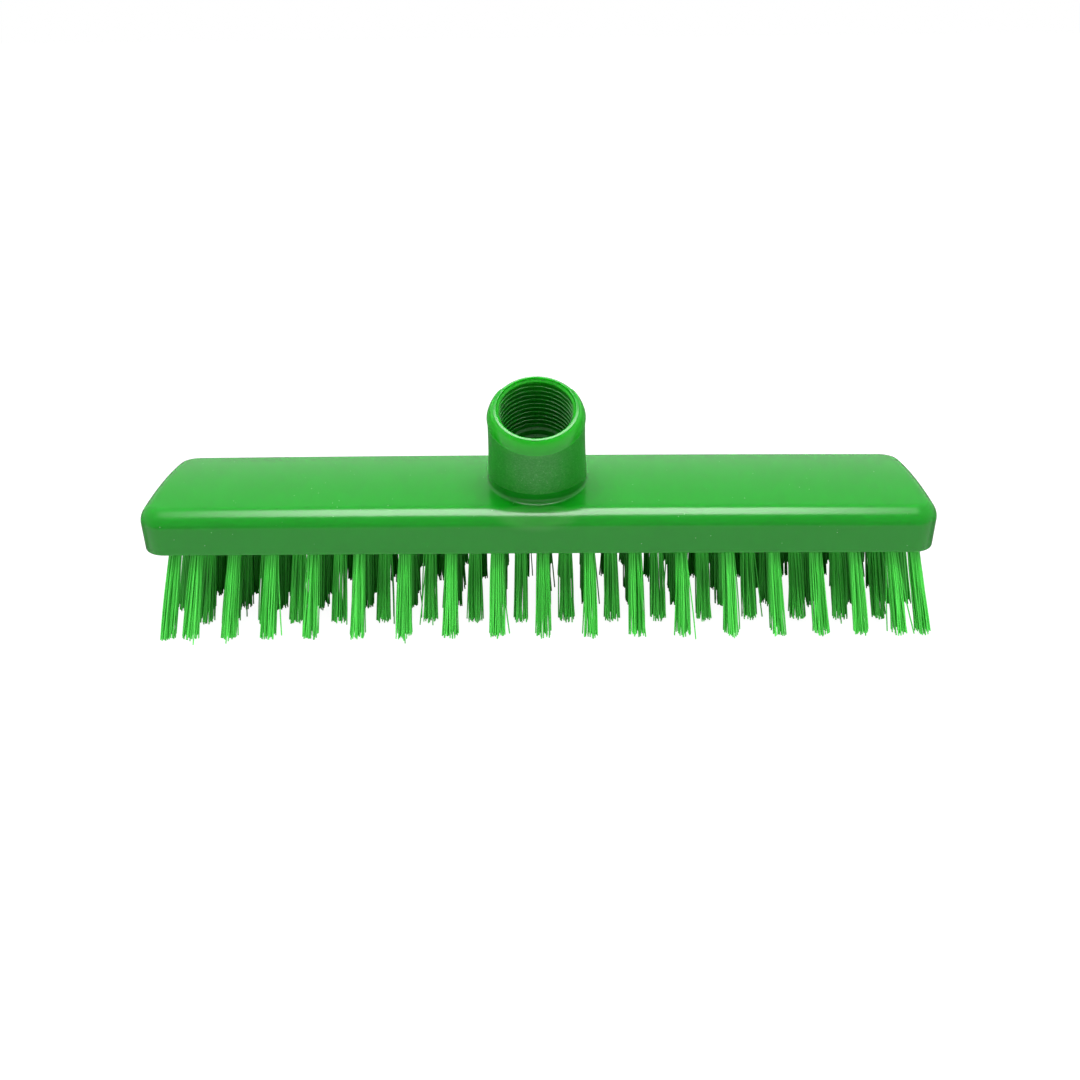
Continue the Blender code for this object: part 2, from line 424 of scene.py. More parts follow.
def lip_and_shoulder(turn):
    """From the mouth's wall over the lip and down the bulging shoulder to the parting line."""
    rise = nib(turn)
    points = []
    for step in range(1, lip_steps + 1):
        swing = math.pi / 2 * step / lip_steps
        along = socket_length - lip_round * (1 - math.sin(swing)) + rise * step / lip_steps
        points.append((along, mouth_radius + lip_round * (1 - math.cos(swing))))
    for step in range(1, rim_steps + 1):
        out = rim(turn) * step / rim_steps
        along = socket_length - out * math.tan(rim_slope) + rise * (1 - step / rim_steps)
        points.append((along, mouth_radius + lip_round + out))
    top, inner = points[-1]
    for step in range(1, shoulder_steps + 1):
        swing = math.pi / 2 * step / shoulder_steps
        spread = math.sin(swing) ** (2 / shoulder_bulge)
        fall = 1 - math.cos(swing) ** (2 / shoulder_bulge)
        points.append((top + (neck_height - top) * fall, inner + (socket_neck_radius - inner) * spread))
    points.append((neck_height - parting_ridge, socket_neck_radius + parting_ridge))
    points.append((neck_height - 2 * parting_ridge, socket_neck_radius))
    return points


def bore_points(share):
    """Height and radius of the bore from the middle of its floor up to the mouth, at one turn."""
    lead_step = mouth_radius - thread_crest_radius
    thread_top = socket_length - lead_in_length - lead_step
    ledge = thread_top - thread_length
    low_ledge = ledge - ledge_fall - ledge_step
    floor = low_ledge - ledge_fall - floor_depth
    ledge_radius = thread_crest_radius - ledge_width
    floor_radius = ledge_radius - ledge_width
    points = [(floor, 0), (floor, floor_radius - floor_round), (floor + floor_round, floor_radius)]
    points += [(low_ledge - ledge_fall, floor_radius), (low_ledge, ledge_radius)]
    points += [(ledge - ledge_fall, ledge_radius), (ledge, thread_crest_radius)]
    for ring in range(math.ceil(thread_length / thread_pitch) + 1):
        for rise, cut in thread_profile_shares:
            along = ledge + thread_pitch * (ring + rise + share + thread_start_share - 1)
            along = min(max(along, ledge), thread_top)
            fade = min((along - ledge) / thread_pitch, (thread_top - along) / thread_pitch, 1)
            points.append((along, thread_crest_radius + thread_depth * fade * cut))
    points.append((thread_top + lead_step, mouth_radius))
    return points


def socket_column(share):
    """One closed line from the bore's floor up over the lip, down the wall and in under the foot."""
    turn = 2 * math.pi * share
    wall_foot, fillet = fillet_points(turn)
    points = [on_socket(along, radius, turn) for along, radius in bore_points(share)]
    points += [on_socket(along, radius, turn) for along, radius in lip_and_shoulder(turn)]
    wall_top = neck_height - 2 * parting_ridge
    for row in range(wall_rows):
        along = wall_top + (wall_foot - wall_top) * row / wall_rows
        points.append(on_socket(along, wall_radius(along), turn))
    points += fillet
    points.append(Vector((fillet[-1].x, fillet[-1].y, edge_height / 2)))
    points.append(Vector((0, -socket_seat_front, edge_height / 2)))
    return points


def socket_shell():
    """The closed socket with its bore, whose foot stands inside the block."""
    bm = bmesh.new()
    columns = [socket_column(side / socket_sides) for side in range(socket_sides + 1)]
    rows = len(columns[0])
    bore_rows = len(bore_points(0))
    smooth_rows = bore_rows + len(lip_and_shoulder(0))
    grained_rows = smooth_rows + wall_rows - plain_rows
    slots = [bore_slot] * bore_rows + [polished_slot] * (smooth_rows - bore_rows)
    slots += [grained_slot] * (wall_rows - plain_rows) + [polished_slot] * (rows - grained_rows)
    skin(bm, columns, slots)
    close_mesh(bm)
    return bm


# Bristle field

field_half_length = block_length / 2 - field_end_margin
row_half_spread = block_depth / 2 - field_side_margin
straight_row = sorted([-share for share in straight_row_shares] + [0] + list(straight_row_shares))
offset_row = sorted([-share for share in offset_row_left_shares] + list(offset_row_right_shares))
row_patterns = (
    ("front", straight_row),
    ("second", offset_row),
    ("third", straight_row),
    ("fourth", straight_row),
    ("fifth", offset_row),
    ("back", straight_row),
)


def row_places(number):
    """Middles of one row's holes, and of its tufts' tips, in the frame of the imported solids."""
    middle = block_foot + Vector((field_shift, 0, 0))
    y = row_half_spread * (2 * number / (len(row_patterns) - 1) - 1)
    places = []
    for share in row_patterns[number][1]:
        inward = math.copysign(end_flare * abs(share) ** end_flare_power, share)
        hole = middle + Vector((field_half_length * share - inward, y, 0))
        tip = middle + Vector((field_half_length * share * end_fan_share, y * row_fan_share, 0))
        tip.z = tip_lift + tip_slant * (1 + share) / 2
        places.append((hole, tip))
    return places


# Shader node groups and materials

def shader_group(name, inputs, outputs):
    """An empty shader node group with named sockets, its input node and its output node."""
    tree = bpy.data.node_groups.new(name, "ShaderNodeTree")
    for label, kind in inputs:
        tree.interface.new_socket(name=label, in_out="INPUT", socket_type=kind)
    for label, kind in outputs:
        tree.interface.new_socket(name=label, in_out="OUTPUT", socket_type=kind)
    return tree, tree.nodes.new("NodeGroupInput"), tree.nodes.new("NodeGroupOutput")


def grain_group():
    """Height of a fine moulded grain."""
    tree, start, end = shader_group(
        "moulded grain",
        [("Place", "NodeSocketVector"), ("Grains per Metre", "NodeSocketFloat")],
        [("Height", "NodeSocketFloat")],
    )
    noise = tree.nodes.new("ShaderNodeTexNoise")
    noise.inputs["Detail"].default_value = 3
    noise.inputs["Roughness"].default_value = 0.6
    tree.links.new(start.outputs["Place"], noise.inputs["Vector"])
    tree.links.new(start.outputs["Grains per Metre"], noise.inputs["Scale"])
    tree.links.new(noise.outputs["Fac"], end.inputs["Height"])
    return tree


def specks_group():
    """Mask of sparse round specks, such as dust and pits."""
    tree, start, end = shader_group(
        "sparse specks",
        [("Place", "NodeSocketVector"), ("Cells per Metre", "NodeSocketFloat"), ("Size", "NodeSocketFloat"),
         ("Share", "NodeSocketFloat")],
        [("Mask", "NodeSocketFloat")],
    )
    cells = tree.nodes.new("ShaderNodeTexVoronoi")
    cells.feature = "F1"
    tree.links.new(start.outputs["Place"], cells.inputs["Vector"])
    tree.links.new(start.outputs["Cells per Metre"], cells.inputs["Scale"])
    spot = tree.nodes.new("ShaderNodeMapRange")
    spot.interpolation_type = "SMOOTHSTEP"
    spot.inputs["To Min"].default_value = 1
    spot.inputs["To Max"].default_value = 0
    spot.inputs["From Min"].default_value = 0
    tree.links.new(cells.outputs["Distance"], spot.inputs["Value"])
    tree.links.new(start.outputs["Size"], spot.inputs["From Max"])
    chosen = tree.nodes.new("ShaderNodeMath")
    chosen.operation = "LESS_THAN"
    split = tree.nodes.new("ShaderNodeSeparateColor")
    tree.links.new(cells.outputs["Color"], split.inputs["Color"])
    tree.links.new(split.outputs["Red"], chosen.inputs[0])
    tree.links.new(start.outputs["Share"], chosen.inputs[1])
    both = tree.nodes.new("ShaderNodeMath")
    both.operation = "MULTIPLY"
    tree.links.new(spot.outputs["Result"], both.inputs[0])
    tree.links.new(chosen.outputs[0], both.inputs[1])
    tree.links.new(both.outputs[0], end.inputs["Mask"])
    return tree


def tone_group():
    """Slow drift between two tones of one plastic, with specks of a third."""
    tree, start, end = shader_group(
        "drifting tone",
        [("Place", "NodeSocketVector"), ("Waves per Metre", "NodeSocketFloat"), ("Tone", "NodeSocketColor"),
         ("Other Tone", "NodeSocketColor"), ("Speck Tone", "NodeSocketColor"), ("Specks", "NodeSocketFloat")],
        [("Color", "NodeSocketColor")],
    )
    noise = tree.nodes.new("ShaderNodeTexNoise")
    noise.inputs["Detail"].default_value = 2
    tree.links.new(start.outputs["Place"], noise.inputs["Vector"])
    tree.links.new(start.outputs["Waves per Metre"], noise.inputs["Scale"])
    drift = mix_colour(tree, noise.outputs["Fac"], start.outputs["Tone"], start.outputs["Other Tone"])
    speckled = mix_colour(tree, start.outputs["Specks"], drift, start.outputs["Speck Tone"])
    tree.links.new(speckled, end.inputs["Color"])
    return tree


def painted_glow_group():
    """Mask of the painted glow near the socket's mouth, which stands in for the light that gets through the
    narrow lip.
    """
    tree, start, end = shader_group(
        "painted glow at the mouth",
        [("Place", "NodeSocketVector"), ("Mouth", "NodeSocketVector"), ("Axis", "NodeSocketVector"),
         ("Full", "NodeSocketFloat"), ("Reach", "NodeSocketFloat")],
        [("Mask", "NodeSocketFloat")],
    )
    away = tree.nodes.new("ShaderNodeVectorMath")
    away.operation = "SUBTRACT"
    tree.links.new(start.outputs["Mouth"], away.inputs[0])
    tree.links.new(start.outputs["Place"], away.inputs[1])
    down = tree.nodes.new("ShaderNodeVectorMath")
    down.operation = "DOT_PRODUCT"
    tree.links.new(away.outputs[0], down.inputs[0])
    tree.links.new(start.outputs["Axis"], down.inputs[1])
    swell = tree.nodes.new("ShaderNodeMapRange")
    swell.interpolation_type = "SMOOTHSTEP"
    tree.links.new(down.outputs["Value"], swell.inputs["Value"])
    tree.links.new(start.outputs["Full"], swell.inputs["From Max"])
    fade = tree.nodes.new("ShaderNodeMapRange")
    fade.interpolation_type = "SMOOTHSTEP"
    fade.inputs["To Min"].default_value = 1
    fade.inputs["To Max"].default_value = 0
    tree.links.new(down.outputs["Value"], fade.inputs["Value"])
    tree.links.new(start.outputs["Full"], fade.inputs["From Min"])
    tree.links.new(start.outputs["Reach"], fade.inputs["From Max"])
    both = tree.nodes.new("ShaderNodeMath")
    both.operation = "MULTIPLY"
    tree.links.new(swell.outputs["Result"], both.inputs[0])
    tree.links.new(fade.outputs["Result"], both.inputs[1])
    tree.links.new(both.outputs[0], end.inputs["Mask"])
    return tree


def patch_group():
    """Mask of one oval patch round a place."""
    tree, start, end = shader_group(
        "oval patch",
        [("Place", "NodeSocketVector"), ("Middle", "NodeSocketVector"), ("Reach", "NodeSocketVector")],
        [("Mask", "NodeSocketFloat")],
    )
    away = tree.nodes.new("ShaderNodeVectorMath")
    away.operation = "SUBTRACT"
    tree.links.new(start.outputs["Place"], away.inputs[0])
    tree.links.new(start.outputs["Middle"], away.inputs[1])
    shares = tree.nodes.new("ShaderNodeVectorMath")
    shares.operation = "DIVIDE"
    tree.links.new(away.outputs[0], shares.inputs[0])
    tree.links.new(start.outputs["Reach"], shares.inputs[1])
    length = tree.nodes.new("ShaderNodeVectorMath")
    length.operation = "LENGTH"
    tree.links.new(shares.outputs[0], length.inputs[0])
    fade = tree.nodes.new("ShaderNodeMapRange")
    fade.interpolation_type = "SMOOTHSTEP"
    fade.inputs["From Min"].default_value = patch_full_share
    fade.inputs["To Min"].default_value = 1
    fade.inputs["To Max"].default_value = 0
    tree.links.new(length.outputs["Value"], fade.inputs["Value"])
    tree.links.new(fade.outputs["Result"], end.inputs["Mask"])
    return tree


def mix_colour(tree, share, first, second):
    """Goes from the first colour to the second with a share. Each is a colour or a socket."""
    node = tree.nodes.new("ShaderNodeMix")
    node.data_type = "RGBA"
    tree.links.new(share, node.inputs["Factor"])
    for socket, value in ((node.inputs[6], first), (node.inputs[7], second)):
        if isinstance(value, bpy.types.NodeSocket):
            tree.links.new(value, socket)
        else:
            socket.default_value = value
    return node.outputs[2]


def place_group(tree, group, place, **values):
    """A group in a material, fed with the place on the object and with its own values."""
    node = tree.nodes.new("ShaderNodeGroup")
    node.node_tree = group
    tree.links.new(place, node.inputs["Place"])
    for label, value in values.items():
        socket = node.inputs[label.replace("_", " ")]
        if isinstance(value, bpy.types.NodeSocket):
            tree.links.new(value, socket)
        else:
            socket.default_value = value
    return node


def add_bump(tree, height, strength, distance, before=None):
    """Normal of a surface that a height raises, over the normal before it."""
    bump = tree.nodes.new("ShaderNodeBump")
    bump.inputs["Strength"].default_value = strength
    bump.inputs["Distance"].default_value = distance
    tree.links.new(height, bump.inputs["Height"])
    if before:
        tree.links.new(before, bump.inputs["Normal"])
    return bump.outputs["Normal"]


def varied(tree, share, low, high):
    """A value that follows a mask between two limits."""
    node = tree.nodes.new("ShaderNodeMapRange")
    node.inputs["To Min"].default_value = low
    node.inputs["To Max"].default_value = high
    tree.links.new(share, node.inputs["Value"])
    return node.outputs["Result"]


def plastic(name):
    """A new material, its node tree, its shader, and the place on the object."""
    material = bpy.data.materials.new(name)
    material.use_nodes = True
    tree = material.node_tree
    shader = tree.nodes["Principled BSDF"]
    shader.inputs["IOR"].default_value = plastic_ior
    place = tree.nodes.new("ShaderNodeTexCoord").outputs["Object"]
    return material, tree, shader, place


green = (0.003, 0.255, 0.008, 1)
green_deep = (0.002, 0.235, 0.006, 1)
# Painted glow: a lighter green near the socket's mouth, standing in for light that comes through the narrow
# lip
green_painted_glow = (0.010, 0.400, 0.008, 1)
green_frosted = (0.080, 0.400, 0.080, 1)
# Painted reflection: a paler green on the block's top in front of the socket's foot, standing in for the
# bright room that it reflects there
green_painted_reflection = (0.030, 0.280, 0.030, 1)
speck_pale = (0.30, 0.58, 0.30, 1)
filament_deep = (0.018, 0.40, 0.018, 1)
filament_pale = (0.095, 0.80, 0.090, 1)
# Painted light: the paler tone of the filaments near the block, standing in for light in the shadow under the
# block's edge
filament_painted_light = (0.090, 0.90, 0.085, 1)
plastic_ior = 1.49
glow_reach = (0.0006, 0.0034, 0.0006)
tone_waves_per_metre = 38
speck_cells_per_metre = 900
speck_size = 0.22
speck_height = 0.00004
speck_strength = 0.6
frost_start = -0.7
# Place and size of the painted reflection patch in front of the socket's foot
patch_middle = Vector((0, sink_middle - 0.0020, edge_height))
patch_reach = Vector((sink_half_width, 0.0050, edge_height / 2))
patch_full_share = 0.6
filament_grain_per_metre = 1500
filament_roughness = (0.28, 0.48)
painted_light_end = 0.5
# Painted shade: right at the block the filaments keep their own darker tone, before the painted light takes
# over
root_shade = (0.07, 0.28)

grain = grain_group()
specks = specks_group()
tone = tone_group()
painted_glow_mask = painted_glow_group()
patch = patch_group()


def moulded_plastic(name, roughness, rough_spread, grain_per_metre, grain_depth, speck_share, painted_glow_full,
                    painted_glow_reach, frost):
    """Green plastic: a drifting tone, lightened near the socket's mouth by a painted glow that stands in for
    light coming through the narrow lip, paled in front of the socket's foot by a painted reflection, with a
    moulded grain and a few specks.
    """
    material, tree, shader, place = plastic(name)
    shader.inputs["Subsurface Weight"].default_value = 1
    shader.inputs["Subsurface Radius"].default_value = glow_reach
    shader.inputs["Subsurface Scale"].default_value = 1
    dust = place_group(tree, specks, place, Cells_per_Metre=speck_cells_per_metre, Size=speck_size,
                       Share=speck_share)
    colour = place_group(tree, tone, place, Waves_per_Metre=tone_waves_per_metre, Tone=green,
                         Other_Tone=green_deep, Speck_Tone=speck_pale, Specks=dust.outputs["Mask"])
    mouth = block_foot + axis_foot + socket_length * axis
    glow = place_group(tree, painted_glow_mask, place, Mouth=mouth, Axis=axis, Full=painted_glow_full, Reach=painted_glow_reach)
    # Painted glow near the mouth
    lightened = mix_colour(tree, glow.outputs["Mask"], colour.outputs["Color"], green_painted_glow)
    fine = place_group(tree, grain, place, Grains_per_Metre=grain_per_metre)
    frosting = varied(tree, fine.outputs["Height"], frost_start * frost, frost)
    frosted = mix_colour(tree, frosting, lightened, green_frosted)
    # Painted reflection in front of the socket's foot
    foot = place_group(tree, patch, place, Middle=block_foot + patch_middle, Reach=patch_reach)
    painted_reflection_colour = mix_colour(tree, foot.outputs["Mask"], frosted, green_painted_reflection)
    tree.links.new(painted_reflection_colour, shader.inputs["Base Color"])
    uneven = varied(tree, fine.outputs["Height"], roughness - rough_spread, roughness + rough_spread)
    tree.links.new(uneven, shader.inputs["Roughness"])
    normal = add_bump(tree, fine.outputs["Height"], 1, grain_depth)
    normal = add_bump(tree, dust.outputs["Mask"], speck_strength, speck_height, normal)
    tree.links.new(normal, shader.inputs["Normal"])
    return material


def bristle_plastic(name):
    """Drawn filament: each has its own tone, with painted light that pales its upper half and painted shade
    that keeps it darker right at the block.
    """
    material, tree, shader, place = plastic(name)
    own = tree.nodes.new("ShaderNodeAttribute")
    own.attribute_name = "own_tone"
    down = tree.nodes.new("ShaderNodeAttribute")
    down.attribute_name = "way_down"
    colour = mix_colour(tree, own.outputs["Fac"], filament_deep, filament_pale)
    # Painted light, strongest at the block and gone halfway down, held back at the root by the painted shade
    upper = tree.nodes.new("ShaderNodeMapRange")
    upper.inputs["From Max"].default_value = painted_light_end
    upper.inputs["To Min"].default_value = 1
    upper.inputs["To Max"].default_value = 0
    tree.links.new(down.outputs["Fac"], upper.inputs["Value"])
    shade = tree.nodes.new("ShaderNodeMapRange")
    shade.interpolation_type = "SMOOTHSTEP"
    shade.inputs["From Min"].default_value, shade.inputs["From Max"].default_value = root_shade
    tree.links.new(down.outputs["Fac"], shade.inputs["Value"])
    pale = tree.nodes.new("ShaderNodeMath")
    pale.operation = "MULTIPLY"
    tree.links.new(upper.outputs["Result"], pale.inputs[0])
    tree.links.new(shade.outputs["Result"], pale.inputs[1])
    colour = mix_colour(tree, pale.outputs[0], colour, filament_painted_light)
    tree.links.new(colour, shader.inputs["Base Color"])
    fine = place_group(tree, grain, place, Grains_per_Metre=filament_grain_per_metre)
    tree.links.new(varied(tree, fine.outputs["Height"], *filament_roughness), shader.inputs["Roughness"])
    return material


# Bristles, made by geometry nodes

class Fields:
    """Short words for the nodes of a geometry tree."""

    def __init__(self, tree):
        self.tree = tree

    def add(self, kind, **inputs):
        node = self.tree.nodes.new(kind)
        for label, value in inputs.items():
            self.feed(node.inputs[label.replace("_", " ")], value)
        return node

    def feed(self, socket, value):
        if isinstance(value, bpy.types.NodeSocket):
            self.tree.links.new(value, socket)
        else:
            socket.default_value = value

    def math(self, operation, *values):
        node = self.tree.nodes.new("ShaderNodeMath")
        node.operation = operation
        for socket, value in zip(node.inputs, values):
            self.feed(socket, value)
        return node.outputs[0]

    def vector(self, operation, *values):
        node = self.tree.nodes.new("ShaderNodeVectorMath")
        node.operation = operation
        for socket, value in zip(node.inputs, values):
            self.feed(socket, value)
        return node.outputs[0]

    def scaled(self, vector, share):
        node = self.tree.nodes.new("ShaderNodeVectorMath")
        node.operation = "SCALE"
        self.feed(node.inputs[0], vector)
        self.feed(node.inputs["Scale"], share)
        return node.outputs[0]

    def xyz(self, x, y, z):
        node = self.tree.nodes.new("ShaderNodeCombineXYZ")
        for socket, value in zip(node.inputs, (x, y, z)):
            self.feed(socket, value)
        return node.outputs[0]

    def chance(self, low, high, seed, ident):
        node = self.tree.nodes.new("FunctionNodeRandomValue")
        node.data_type = "FLOAT"
        self.feed(node.inputs[2], low)
        self.feed(node.inputs[3], high)
        self.feed(node.inputs["ID"], ident)
        self.feed(node.inputs["Seed"], seed)
        return node.outputs[1]

    def named(self, name, kind="FLOAT"):
        node = self.tree.nodes.new("GeometryNodeInputNamedAttribute")
        node.data_type = kind
        node.inputs["Name"].default_value = name
        return node.outputs["Attribute"]

    def keep(self, geometry, name, value, kind="FLOAT"):
        node = self.tree.nodes.new("GeometryNodeStoreNamedAttribute")
        node.data_type = kind
        node.domain = "POINT"
        self.feed(node.inputs["Geometry"], geometry)
        node.inputs["Name"].default_value = name
        self.feed(node.inputs["Value"], value)
        return node.outputs["Geometry"]


def tuft_tree():
    """Geometry tree that grows a bundle of filaments from every hole of a row.

    Its points carry `lean`, from the hole's middle to the middle of the tuft's tip.
    """
    tree = bpy.data.node_groups.new("bristle tufts", "GeometryNodeTree")
    tree.is_modifier = True
    tree.interface.new_socket(name="Geometry", in_out="INPUT", socket_type="NodeSocketGeometry")
    inputs = (("Filaments", "NodeSocketInt"), ("Filament Radius", "NodeSocketFloat"),
              ("Root Radius", "NodeSocketFloat"), ("Tip Radius", "NodeSocketFloat"),
              ("Root Depth", "NodeSocketFloat"), ("Ragged Length", "NodeSocketFloat"),
              ("Low Corner", "NodeSocketVector"), ("High Corner", "NodeSocketVector"),
              ("Steps", "NodeSocketInt"), ("Sides", "NodeSocketInt"), ("Seed", "NodeSocketInt"),
              ("Material", "NodeSocketMaterial"))
    for label, kind in inputs:
        tree.interface.new_socket(name=label, in_out="INPUT", socket_type=kind)
    tree.interface.new_socket(name="Geometry", in_out="OUTPUT", socket_type="NodeSocketGeometry")
    f = Fields(tree)
    start = tree.nodes.new("NodeGroupInput").outputs
    end = tree.nodes.new("NodeGroupOutput")
    seed = start["Seed"]

    tufts = f.keep(start["Geometry"], "tuft", f.add("GeometryNodeInputIndex").outputs[0], "INT")
    copies = f.add("GeometryNodeDuplicateElements", Amount=start["Filaments"])
    copies.domain = "POINT"
    f.feed(copies.inputs["Geometry"], tufts)
    number = copies.outputs["Duplicate Index"]
    points = f.keep(copies.outputs["Geometry"], "number", number, "INT")

    number = f.named("number", "INT")
    tuft = f.named("tuft", "INT")
    own = f.math("ADD", f.math("MULTIPLY", tuft, numbers_per_tuft), number)
    turn = f.math("ADD", f.math("MULTIPLY", number, golden_turn), f.chance(0, whole_turn, seed, tuft))
    out = f.math("SQRT", f.math("DIVIDE", f.math("ADD", number, 0.5), start["Filaments"]))

    side = f.xyz(f.math("COSINE", turn), f.math("SINE", turn), 0)
    hole = f.add("GeometryNodeInputPosition").outputs[0]
    root = f.vector("ADD", hole, f.scaled(side, f.math("MULTIPLY", out, start["Root Radius"])))
    root = f.vector("ADD", root, f.xyz(0, 0, start["Root Depth"]))

    def own_seed(extra):
        return f.math("ADD", seed, extra)

    bent_turn = f.math("ADD", turn, f.chance(-turn_scatter, turn_scatter, own_seed(1), own))
    share = f.math("ADD", f.math("MULTIPLY", out, tip_fill), f.chance(*tip_scatter, own_seed(2), own))
    spread = f.math("MULTIPLY", share, start["Tip Radius"])
    stray = f.math("GREATER_THAN", f.chance(0, 1, own_seed(3), own), stray_above)
    spread = f.math("MULTIPLY", spread, f.math("ADD", 1, f.math("MULTIPLY", stray, stray_spread)))
    tip_side = f.xyz(f.math("COSINE", bent_turn), f.math("SINE", bent_turn), 0)
    tip = f.vector("ADD", hole, f.named("lean", "FLOAT_VECTOR"))
    tip = f.vector("ADD", tip, f.scaled(tip_side, spread))
    ragged = f.math("POWER", f.chance(0, 1, own_seed(4), own), ragged_power)
    short = f.math("MULTIPLY", ragged, start["Ragged Length"])
    tilt = f.chance(-cut_tilt, cut_tilt, own_seed(5), tuft)
    slant = f.math("MULTIPLY", f.math("MULTIPLY", f.math("SINE", turn), out), tilt)
    short = f.math("MAXIMUM", f.math("ADD", short, f.math("ADD", slant, cut_clearance)), 0)
    tip = f.vector("ADD", tip, f.xyz(0, 0, short))
    tip = f.vector("MAXIMUM", f.vector("MINIMUM", tip, start["High Corner"]), start["Low Corner"])
    bow = f.xyz(*[f.chance(-bow_reach, bow_reach, own_seed(extra), own) for extra in (6, 7)], 0)

    points = f.keep(points, "root", root, "FLOAT_VECTOR")
    points = f.keep(points, "tip", tip, "FLOAT_VECTOR")
    points = f.keep(points, "bow", bow, "FLOAT_VECTOR")
    points = f.keep(points, "own_tone", f.chance(0, 1, own_seed(8), own))

    line = f.add("GeometryNodeCurvePrimitiveLine")
    line.inputs["End"].default_value = (0, 0, 1)
    resampled = f.add("GeometryNodeResampleCurve")
    f.feed(resampled.inputs["Curve"], line.outputs["Curve"])
    f.feed(resampled.inputs["Count"], start["Steps"])
    instances = f.add("GeometryNodeInstanceOnPoints")
    f.feed(instances.inputs["Points"], points)
    f.feed(instances.inputs["Instance"], resampled.outputs["Curve"])
    curves = f.add("GeometryNodeRealizeInstances")
    f.feed(curves.inputs["Geometry"], instances.outputs["Instances"])

    way = f.add("GeometryNodeSplineParameter").outputs["Factor"]
    straight = f.add("ShaderNodeMix")
    straight.data_type = "VECTOR"
    f.feed(straight.inputs["Factor"], way)
    f.feed(straight.inputs[4], f.named("root", "FLOAT_VECTOR"))
    f.feed(straight.inputs[5], f.named("tip", "FLOAT_VECTOR"))
    bulge = f.math("MULTIPLY", f.math("MULTIPLY", way, f.math("SUBTRACT", 1, way)), 4)
    where = f.vector("ADD", straight.outputs[1], f.scaled(f.named("bow", "FLOAT_VECTOR"), bulge))
    placed = f.add("GeometryNodeSetPosition")
    f.feed(placed.inputs["Geometry"], curves.outputs["Geometry"])
    f.feed(placed.inputs["Position"], where)
    marked = f.keep(placed.outputs["Geometry"], "way_down", way)

    ring = f.add("GeometryNodeCurvePrimitiveCircle")
    f.feed(ring.inputs["Resolution"], start["Sides"])
    f.feed(ring.inputs["Radius"], start["Filament Radius"])
    tubes = f.add("GeometryNodeCurveToMesh")
    f.feed(tubes.inputs["Curve"], marked)
    f.feed(tubes.inputs["Profile Curve"], ring.outputs["Curve"])
    tubes.inputs["Fill Caps"].default_value = True
    whole = f.add("GeometryNodeRealizeInstances")
    f.feed(whole.inputs["Geometry"], tubes.outputs["Mesh"])
    painted = f.add("GeometryNodeSetMaterial")
    f.feed(painted.inputs["Geometry"], whole.outputs["Geometry"])
    f.feed(painted.inputs["Material"], start["Material"])
    f.feed(end.inputs["Geometry"], painted.outputs["Geometry"])
    return tree


def grow_tufts(name, tree, places, seed, material):
    """One row of tufts as a plain mesh."""
    mesh = bpy.data.meshes.new(name)
    mesh.from_pydata([hole for hole, _ in places], [], [])
    lean = mesh.attributes.new("lean", "FLOAT_VECTOR", "POINT")
    for number, (hole, tip) in enumerate(places):
        lean.data[number].vector = tip - hole
    seeds = bpy.data.objects.new(name, mesh)
    bpy.context.scene.collection.objects.link(seeds)
    modifier = seeds.modifiers.new("tufts", "NODES")
    modifier.node_group = tree
    margin = Vector((1, 1, 1)) * filament_radius
    values = {
        "Filaments": filaments_per_tuft,
        "Filament Radius": filament_radius,
        "Root Radius": root_radius,
        "Tip Radius": tip_radius,
        "Root Depth": root_depth,
        "Ragged Length": ragged_length,
        "Low Corner": cad_box[0] + margin,
        "High Corner": cad_box[1] - margin,
        "Steps": filament_steps,
        "Sides": filament_sides,
        "Seed": seed,
        "Material": material,
    }
    for item in tree.interface.items_tree:
        if item.in_out == "INPUT" and item.name in values:
            modifier[item.identifier] = values[item.name]
    seeds.update_tag()
    grown = bpy.data.meshes.new_from_object(seeds.evaluated_get(bpy.context.evaluated_depsgraph_get()))
    bpy.data.objects.remove(seeds)
    grown.shade_smooth()
    for spare in ("root", "tip", "bow", "number", "tuft", "lean"):
        if spare in grown.attributes:
            grown.attributes.remove(grown.attributes[spare])
    obj = bpy.data.objects.new(name, grown)
    bpy.context.scene.collection.objects.link(obj)
    return obj


# Pieces

polished = moulded_plastic(
    "polished moulding", roughness=0.20, rough_spread=0.03, grain_per_metre=900, grain_depth=0.000004,
    speck_share=0.02, painted_glow_full=0.0006, painted_glow_reach=0.012, frost=0)
grained = moulded_plastic(
    "grained moulding", roughness=0.42, rough_spread=0.08, grain_per_metre=1500, grain_depth=0.00010,
    speck_share=0.45, painted_glow_full=0.0006, painted_glow_reach=0.009, frost=1.3)
bore_finish = moulded_plastic(
    "bore of the moulding", roughness=0.28, rough_spread=0.03, grain_per_metre=1500, grain_depth=0.00001,
    speck_share=0.02, painted_glow_full=0.0001, painted_glow_reach=0.011, frost=0)
moulding = (polished, grained, bore_finish)
polished_slot, grained_slot, bore_slot = range(len(moulding))
filament = bristle_plastic("drawn filament")


def build_head():
    """The block and its socket as one closed shell."""
    holes = [hole - block_foot for number in range(len(row_patterns)) for hole, _ in row_places(number)]
    shells = [mesh_object("block_shell", block_shell(holes), *moulding),
              mesh_object("socket_shell", socket_shell(), *moulding)]
    union = shells[0].modifiers.new("socket", "BOOLEAN")
    union.operation = "UNION"
    union.solver = "EXACT"
    union.object = shells[1]
    joined = bpy.data.meshes.new_from_object(shells[0].evaluated_get(bpy.context.evaluated_depsgraph_get()))
    for shell in shells:
        bpy.data.objects.remove(shell)
    joined.transform(Matrix.Translation(block_foot))
    joined.shade_smooth()
    joined.set_sharp_from_angle(angle=sharp_angle)
    obj = bpy.data.objects.new("moulded_block", joined)
    bpy.context.scene.collection.objects.link(obj)
    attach(obj, "root")
    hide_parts("brush_block")


